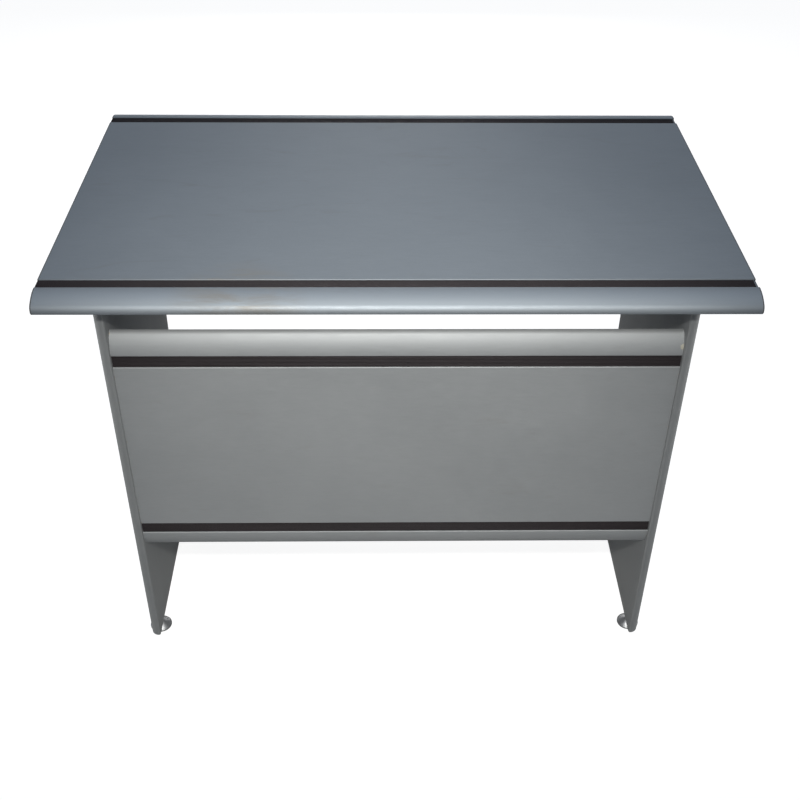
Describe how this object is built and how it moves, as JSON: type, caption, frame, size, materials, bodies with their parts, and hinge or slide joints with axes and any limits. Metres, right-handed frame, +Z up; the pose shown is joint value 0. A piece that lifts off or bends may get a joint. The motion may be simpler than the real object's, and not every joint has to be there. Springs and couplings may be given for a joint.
{
  "type": "writing desk",
  "caption": "Writing desk with a post-formed grey top, slab sides, an inlaid modesty panel and a shallow pair of lockable drawers under the top.",
  "frame": {"origin": "on the floor under the middle of the top", "axes": "+X along the desk towards its right end as a visitor sees it, +Y from the visitor's side to the user's side, +Z up"},
  "size_m": [1, 0.64, 0.75],
  "materials": {
    "laminate_top": "satin bluish grey melamine laminate on chipboard",
    "laminate_grey": "satin neutral grey melamine laminate on chipboard",
    "laminate_side": "satin grey melamine laminate on chipboard",
    "edge_band": "grey plastic edge band",
    "inlay": "black reeded plastic strip",
    "chrome": "bright chromed steel",
    "satin_nickel": "satin nickel",
    "zinc": "bright zinc plated steel",
    "rail_steel": "zinc plated sheet steel",
    "beech": "fluted beech",
    "drawer_board": "light grey melamine faced board"
  },
  "bodies": {
    "desk": {"desktop": "laminate_top", "desktop_left_end_band": "edge_band", "desktop_right_end_band": "edge_band", "desktop_front_inlay": "inlay", "desktop_rear_inlay": "inlay", "left_side_panel": "laminate_side", "right_side_panel": "laminate_side", "left_panel_rear_band": "edge_band", "right_panel_rear_band": "edge_band", "modesty_panel": "laminate_grey", "modesty_upper_inlay": "inlay", "modesty_lower_inlay": "inlay", "cam_housings": "zinc", "cam_bolts": "zinc", "dowels": "beech", "glide_inserts": "zinc", "unit_left_side": "laminate_grey", "unit_right_side": "laminate_grey", "unit_divider": "laminate_grey", "unit_back": "laminate_grey", "unit_top_board": "laminate_grey", "unit_hanging_screws": "zinc", "unit_frame_screws": "zinc", "lock_strikes": "zinc", "left_outer_rails": "rail_steel", "right_outer_rails": "rail_steel"},
    "front_left_glide": {"front_left_glide_cap": "chrome", "front_left_glide_stem": "zinc"},
    "front_right_glide": {"front_right_glide_cap": "chrome", "front_right_glide_stem": "zinc"},
    "rear_left_glide": {"rear_left_glide_cap": "chrome", "rear_left_glide_stem": "zinc"},
    "rear_right_glide": {"rear_right_glide_cap": "chrome", "rear_right_glide_stem": "zinc"},
    "left_drawer": {"left_drawer_front": "laminate_top", "left_drawer_left_side": "drawer_board", "left_drawer_right_side": "drawer_board", "left_drawer_back": "drawer_board", "left_drawer_bottom": "drawer_board", "left_inner_rails": "rail_steel", "left_handle": "satin_nickel", "left_handle_screws": "zinc", "left_lock_housing": "chrome"},
    "left_middle_rails": {"left_middle_rails": "rail_steel"},
    "left_lock": {"left_lock_plug": "chrome", "left_lock_cam": "zinc"},
    "right_drawer": {"right_drawer_front": "laminate_top", "right_drawer_left_side": "drawer_board", "right_drawer_right_side": "drawer_board", "right_drawer_back": "drawer_board", "right_drawer_bottom": "drawer_board", "right_inner_rails": "rail_steel", "right_handle": "satin_nickel", "right_handle_screws": "zinc", "right_lock_housing": "chrome"},
    "right_middle_rails": {"right_middle_rails": "rail_steel"},
    "right_lock": {"right_lock_plug": "chrome", "right_lock_cam": "zinc"}
  },
  "joints": [
    {"name": "left_drawer_slide", "type": "slide", "parent": "desk", "child": "left_drawer", "axis": [0, 1, 0], "range_m": [0, 0.26]},
    {"name": "left_rail_slide", "type": "slide", "parent": "desk", "child": "left_middle_rails", "axis": [0, 1, 0], "range_m": [0, 0.13]},
    {"name": "left_lock_turn", "type": "hinge", "parent": "left_drawer", "child": "left_lock", "pos_m": [-0.20825, 0.25775, 0.694], "axis": [0, 1, 0], "range_deg": [0, 90]},
    {"name": "right_drawer_slide", "type": "slide", "parent": "desk", "child": "right_drawer", "axis": [0, 1, 0], "range_m": [0, 0.26]},
    {"name": "right_rail_slide", "type": "slide", "parent": "desk", "child": "right_middle_rails", "axis": [0, 1, 0], "range_m": [0, 0.13]},
    {"name": "right_lock_turn", "type": "hinge", "parent": "right_drawer", "child": "right_lock", "pos_m": [0.20825, 0.25775, 0.694], "axis": [0, 1, 0], "range_deg": [0, 90]},
    {"name": "front_left_glide_screw", "type": "slide", "parent": "desk", "child": "front_left_glide", "axis": [0, 0, -1], "range_m": [0, 0.01]},
    {"name": "front_right_glide_screw", "type": "slide", "parent": "desk", "child": "front_right_glide", "axis": [0, 0, -1], "range_m": [0, 0.01]},
    {"name": "rear_left_glide_screw", "type": "slide", "parent": "desk", "child": "rear_left_glide", "axis": [0, 0, -1], "range_m": [0, 0.01]},
    {"name": "rear_right_glide_screw", "type": "slide", "parent": "desk", "child": "rear_right_glide", "axis": [0, 0, -1], "range_m": [0, 0.01]}
  ],
  "couplings": [
    {"joint": "left_rail_slide", "follows": "left_drawer_slide", "ratio": 0.5},
    {"joint": "right_rail_slide", "follows": "right_drawer_slide", "ratio": 0.5}
  ]
}
